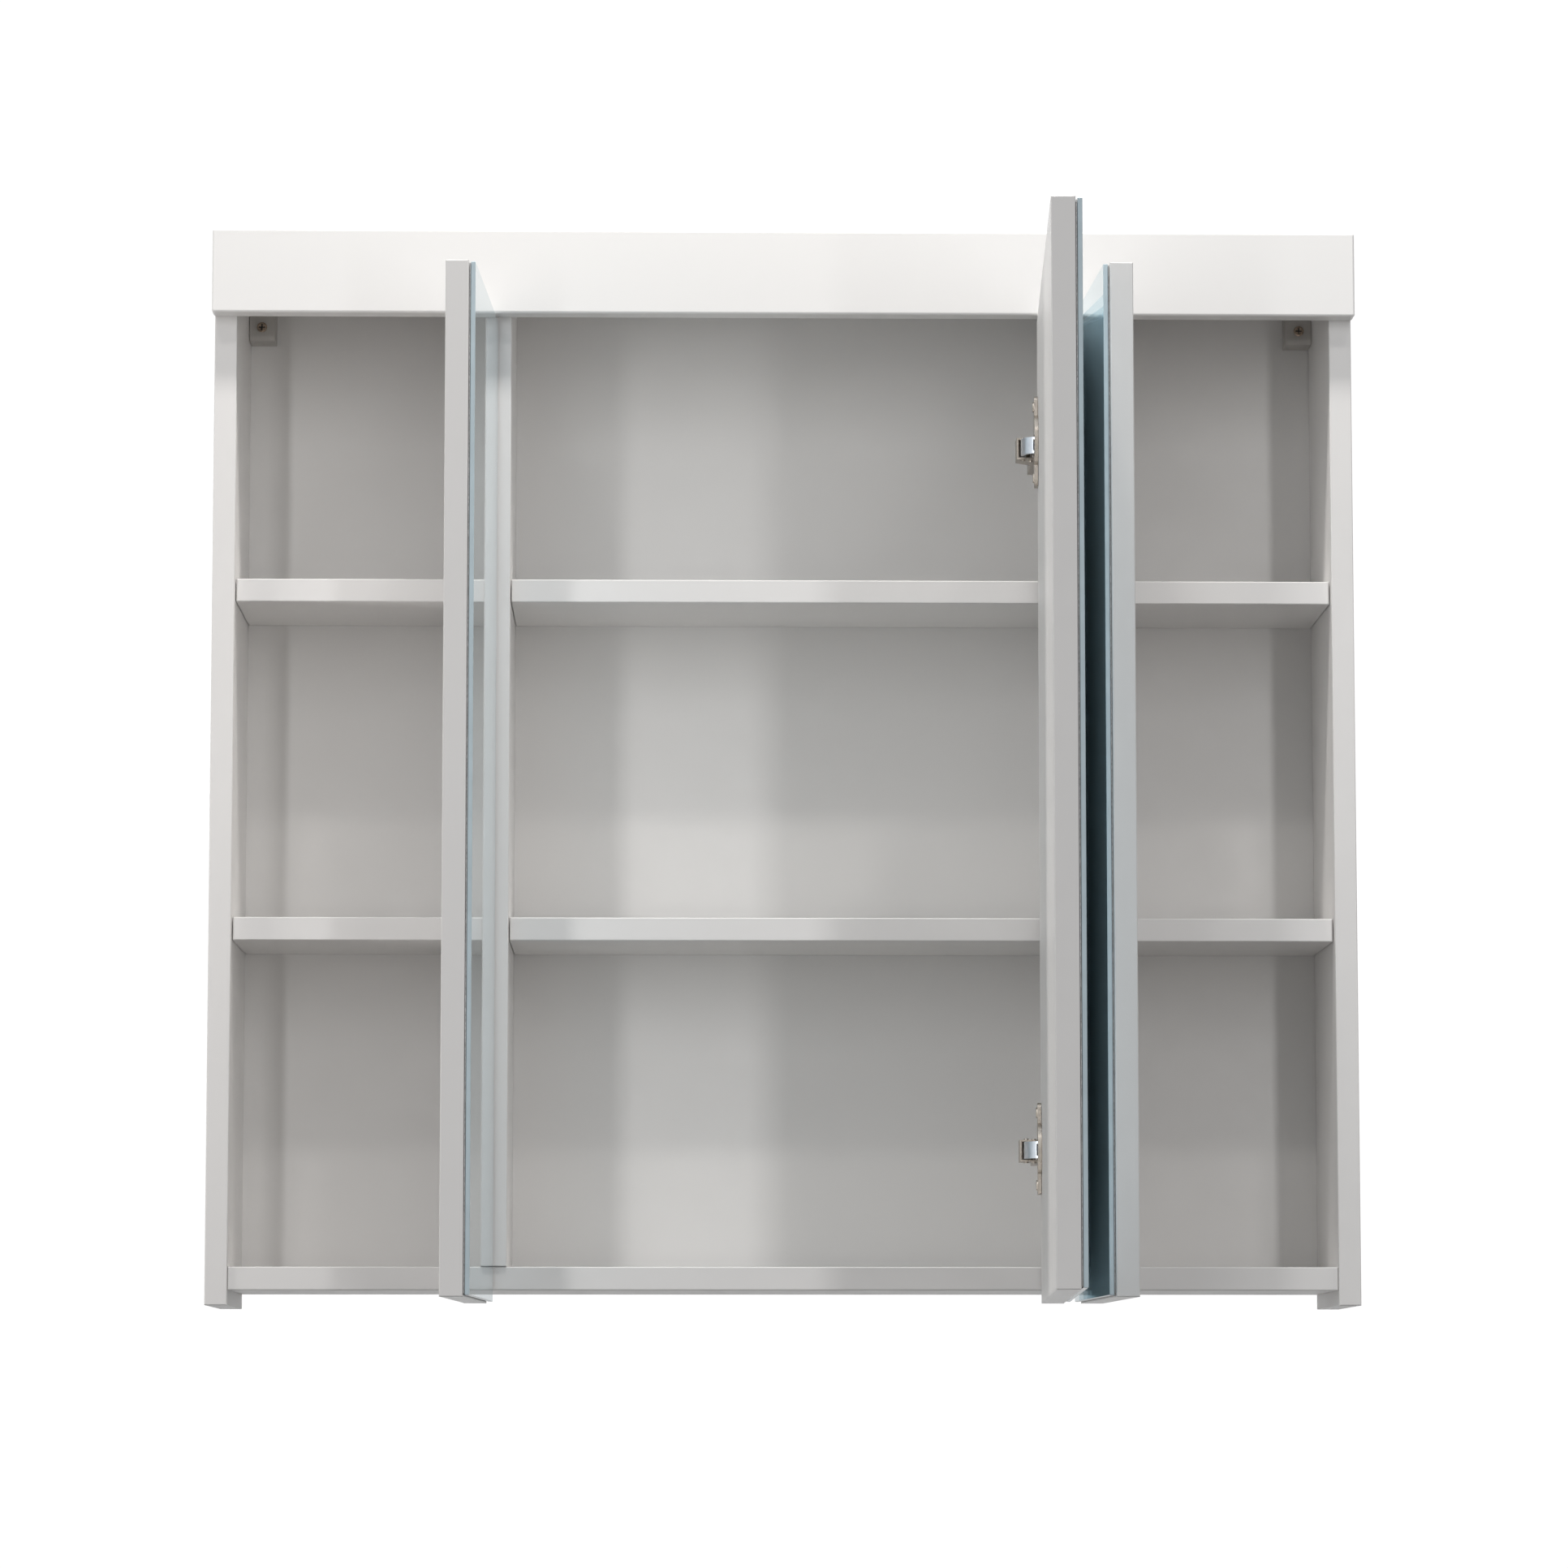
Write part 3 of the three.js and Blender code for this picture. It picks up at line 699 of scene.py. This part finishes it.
class CABINET_OT_hinge_screws(bpy.types.Operator):
    """Cross-headed screws of the cups, mounting plates and arms"""

    bl_idname = "cabinet.hinge_screws"
    bl_label = "Hinge screws"

    def execute(self, context):
        made = []
        for door in DOORS:
            for level in LEVELS:
                made += add_plate_screws(door, level)
                made += add_arm_screws(door, level)
                made += add_cup_screws(door, level)
        return require_finished(self, made)


# ---------------------------------------------------------------- hangers

# The part of a hanger screw's head that its cross takes up, which gets painted shade: how far out,
# and how far in.
RECESS_REACH = 2.4 * mm
RECESS_START = 0.25 * mm
RECESS_END = 1.1 * mm


def middle_of(values):
    """Half way between the lowest and highest value."""
    return (min(values) + max(values)) / 2


def darken_recess(screw):
    """Gives the faces of a hanger screw's cross a near-black colour: painted shade in the recess.
    """
    data = screw.data
    data.materials.append(material("painted_recess_shade"))
    corners = [vert.co for vert in data.vertices]
    front = min(corner.y for corner in corners)
    across = middle_of([corner.x for corner in corners])
    height = middle_of([corner.z for corner in corners])
    for face in data.polygons:
        away = Vector((face.center.x - across, 0, face.center.z - height)).length
        sunk = face.center.y - front
        if away < RECESS_REACH and RECESS_START < sunk < RECESS_END:
            face.material_index = 1


class CABINET_OT_hangers(bpy.types.Operator):
    """Hooks, moulded covers and adjusting screws in the two top corners"""

    bl_idname = "cabinet.hangers"
    bl_label = "Hangers"

    def execute(self, context):
        made = []
        for side in SIDES:
            node = f"hanger_cover_{side}"
            cover = welded_copy(node)
            round_edges(cover, sizes().plastic_edge, 3, PLASTIC_SHARP_TURN)
            shell = finished(cover, f"{node}_shell", "carcass",
                             ["moulded_plastic"], smooth=True, stands_for=[node])
            hook = soft_metal(f"hanger_hook_{side}", "carcass", "hinge_nickel", "plated_nickel")
            screw = soft_metal(f"hanger_screw_{side}", "carcass", "screw_bronze",
                               "passivated_steel")
            darken_recess(screw)
            made += [shell, hook, screw]
        return require_finished(self, made)


# ---------------------------------------------------------------- stage

LENS = 123.2
SENSOR = 36
CAMERA_PLACE = (-0.0692, -3.694, -0.7897)
CAMERA_AIM = (0.0, -0.124, -0.364)
CAMERA_RISE = 0.05
FLOOR_HEIGHT = -1.5
FLOOR_SIZE = 14
FLOOR_GLOW = 0.42
FLOOR_SQUARES = 8
# The sky's colours straight down, level and straight up.
SKY_BELOW = (0.15, 0.145, 0.14, 1)
SKY_LEVEL = (0.42, 0.42, 0.42, 1)
SKY_ABOVE = (0.80, 0.86, 0.92, 1)
SKY_STRENGTH = 0.37
MIRRORED_SKY_STRENGTH = 1.7
BACKDROP_STRENGTH = 1.05
WHITE = (1, 1, 1)
WARM = (1.0, 0.975, 0.945)
SUN_STRENGTH = 0.24
SUN_SOFTNESS = radians(4.0)
SUN_TRAVEL = (0.33, 1.0, -1.23)
# A lamp's power is in watts. Its place and aim are for the right side where there are two.
BAR_POWER = 15.5
BAR_SIZE = (0.5, 0.12)
BAR_PLACE = (0.0, -0.47, 0.95)
BAR_AIM = (0.0, -0.2, -0.36)
REAR_POWER = 32
REAR_SIZE = (1.5, 1.5)
REAR_PLACE = (0.0, 3.0, -0.36)
REAR_AIM = (0.0, 0.0, -0.36)
STRIP_POWER = 26
STRIP_SIZE = (0.18, 3.0)
STRIP_PLACE = (1.24, -3.8, 0.35)
STRIP_AIM = (0.0, 0.0, 0.35)
SIDE_LAMP_POWER = {"left": 7.0, "right": 2.2}
SIDE_LAMP_SIZE = (0.2, 1.2)
SIDE_LAMP_PLACE = (1.3, -0.3, -0.36)
SIDE_LAMP_AIM = (0.0, -0.1, -0.36)


def add_camera():
    """A long lens from below, with a small rise that brings the uprights nearer parallel."""
    lens = bpy.data.cameras.new("camera")
    lens.lens = LENS
    lens.sensor_width = SENSOR
    lens.shift_y = CAMERA_RISE
    lens.clip_end = 50
    camera = bpy.data.objects.new("camera", lens)
    bpy.context.scene.collection.objects.link(camera)
    camera.location = CAMERA_PLACE
    look = (Vector(CAMERA_AIM) - Vector(CAMERA_PLACE)).to_track_quat("-Z", "Y")
    drop = Matrix.Rotation(-atan(CAMERA_RISE * SENSOR / LENS), 3, "X").to_quaternion()
    camera.rotation_euler = (look @ drop).to_euler()
    bpy.context.scene.camera = camera


def add_sun(name, travel):
    """A distant warm lamp whose light travels along the given direction."""
    lamp = bpy.data.lights.new(name, "SUN")
    lamp.energy = SUN_STRENGTH
    lamp.angle = SUN_SOFTNESS
    lamp.color = WARM
    sun = bpy.data.objects.new(name, lamp)
    bpy.context.scene.collection.objects.link(sun)
    sun.rotation_euler = Vector(travel).to_track_quat("-Z", "Y").to_euler()


def add_lamp(name, place, aim, size, power, colour, mirrored=True):
    """A soft rectangular lamp that faces a point. The camera never sees it."""
    lamp = bpy.data.lights.new(name, "AREA")
    lamp.shape = "RECTANGLE"
    lamp.size, lamp.size_y = size
    lamp.energy = power
    lamp.color = colour
    made = bpy.data.objects.new(name, lamp)
    bpy.context.scene.collection.objects.link(made)
    made.location = place
    made.rotation_euler = (Vector(aim) - Vector(place)).to_track_quat("-Z", "Y").to_euler()
    made.visible_camera = False
    made.visible_glossy = mirrored


def add_world():
    """White behind the cabinet, and a soft sky, brighter above and in the mirrors."""
    world = bpy.data.worlds.new("studio")
    bpy.context.scene.world = world
    world.use_nodes = True
    tree = world.node_tree
    tree.nodes.clear()
    place = tree.nodes.new("ShaderNodeTexCoord")
    split = tree.nodes.new("ShaderNodeSeparateXYZ")
    ramp = tree.nodes.new("ShaderNodeValToRGB")
    spread = tree.nodes.new("ShaderNodeMapRange")
    sky = tree.nodes.new("ShaderNodeBackground")
    mirrored = tree.nodes.new("ShaderNodeBackground")
    white = tree.nodes.new("ShaderNodeBackground")
    path = tree.nodes.new("ShaderNodeLightPath")
    reflections = tree.nodes.new("ShaderNodeMixShader")
    mix = tree.nodes.new("ShaderNodeMixShader")
    out = tree.nodes.new("ShaderNodeOutputWorld")
    spread.inputs["From Min"].default_value = -1
    spread.inputs["From Max"].default_value = 1
    stops = ramp.color_ramp.elements
    stops[0].position, stops[0].color = 0.0, SKY_BELOW
    stops[1].position, stops[1].color = 1.0, SKY_ABOVE
    stops.new(0.5).color = SKY_LEVEL
    sky.inputs["Strength"].default_value = SKY_STRENGTH
    mirrored.inputs["Strength"].default_value = MIRRORED_SKY_STRENGTH
    white.inputs["Color"].default_value = (*WHITE, 1)
    white.inputs["Strength"].default_value = BACKDROP_STRENGTH
    tree.links.new(place.outputs["Generated"], split.inputs["Vector"])
    tree.links.new(split.outputs["Z"], spread.inputs["Value"])
    tree.links.new(spread.outputs["Result"], ramp.inputs["Fac"])
    for background in (sky, mirrored):
        tree.links.new(ramp.outputs["Color"], background.inputs["Color"])
    tree.links.new(path.outputs["Is Glossy Ray"], reflections.inputs["Fac"])
    tree.links.new(sky.outputs["Background"], reflections.inputs[1])
    tree.links.new(mirrored.outputs["Background"], reflections.inputs[2])
    tree.links.new(path.outputs["Is Camera Ray"], mix.inputs["Fac"])
    tree.links.new(reflections.outputs["Shader"], mix.inputs[1])
    tree.links.new(white.outputs["Background"], mix.inputs[2])
    tree.links.new(mix.outputs["Shader"], out.inputs["Surface"])


def add_floor():
    """A plain pale floor below the cabinet. It glows a little, but only mirrors show it."""
    mesh = bmesh.new()
    bmesh.ops.create_grid(mesh, x_segments=FLOOR_SQUARES, y_segments=FLOOR_SQUARES,
                          size=FLOOR_SIZE / 2)
    bmesh.ops.translate(mesh, vec=(0, 0, FLOOR_HEIGHT), verts=mesh.verts)
    data = bpy.data.meshes.new("floor")
    mesh.to_mesh(data)
    mesh.free()
    floor = bpy.data.objects.new("floor", data)
    bpy.context.scene.collection.objects.link(floor)
    finish = Finish("pale_floor", colours().floor, 0.7)
    finish.vary_roughness(finish.noise(3), 0.65, 0.75)
    finish.shader.inputs["Emission Color"].default_value = (*colours().floor, 1)
    finish.shader.inputs["Emission Strength"].default_value = FLOOR_GLOW
    data.materials.append(finish.material)
    floor.visible_diffuse = False


class CABINET_OT_stage(bpy.types.Operator):
    """Floor, sky, lamps and camera"""

    bl_idname = "cabinet.stage"
    bl_label = "Stage"

    def execute(self, context):
        context.scene.view_settings.view_transform = "Standard"
        add_camera()
        add_world()
        add_floor()
        add_lamp("top_bar", BAR_PLACE, BAR_AIM, BAR_SIZE, BAR_POWER, WARM, mirrored=False)
        add_lamp("rear", REAR_PLACE, REAR_AIM, REAR_SIZE, REAR_POWER, WARM, mirrored=False)
        for word, side in (("left", -1), ("right", 1)):
            sideways, inward, down = SUN_TRAVEL
            add_sun(f"{word}_sun", (-side * sideways, inward, down))
            across, forward, height = STRIP_PLACE
            place = (side * across, forward, height)
            add_lamp(f"{word}_strip", place, STRIP_AIM, STRIP_SIZE, STRIP_POWER, WHITE)
            across, forward, height = SIDE_LAMP_PLACE
            place = (side * across, forward, height)
            add_lamp(f"{word}_wing", place, SIDE_LAMP_AIM, SIDE_LAMP_SIZE, SIDE_LAMP_POWER[word],
                     WARM, mirrored=False)
        return {"FINISHED"}


# ---------------------------------------------------------------- add-on

OPERATORS = (
    CABINET_OT_stage,
    CABINET_OT_boards,
    CABINET_OT_back,
    CABINET_OT_fascia,
    CABINET_OT_doors,
    CABINET_OT_mirrors,
    CABINET_OT_hinges,
    CABINET_OT_hinge_screws,
    CABINET_OT_hangers,
)


class CABINET_PT_sidebar(bpy.types.Panel):
    """The cabinet's pieces, sizes and colours"""

    bl_idname = "CABINET_PT_sidebar"
    bl_label = "Mirror cabinet"
    bl_space_type = "VIEW_3D"
    bl_region_type = "UI"
    bl_category = "Cabinet"

    def draw(self, context):
        for operator in OPERATORS:
            self.layout.operator(operator.bl_idname)
        for group in (context.scene.cabinet_sizes, context.scene.cabinet_colours):
            for name in group.bl_rna.properties.keys():
                if name not in ("rna_type", "name"):
                    self.layout.prop(group, name)


CLASSES = (CabinetSizes, CabinetColours, *OPERATORS, CABINET_PT_sidebar)


def register():
    for entry in CLASSES:
        bpy.utils.register_class(entry)
    bpy.types.Scene.cabinet_sizes = PointerProperty(type=CabinetSizes)
    bpy.types.Scene.cabinet_colours = PointerProperty(type=CabinetColours)


def unregister():
    del bpy.types.Scene.cabinet_colours
    del bpy.types.Scene.cabinet_sizes
    for entry in reversed(CLASSES):
        bpy.utils.unregister_class(entry)


def main():
    register()
    for operator in OPERATORS:
        group, name = operator.bl_idname.split(".")
        getattr(getattr(bpy.ops, group), name)()


if __name__ == "__main__":
    main()
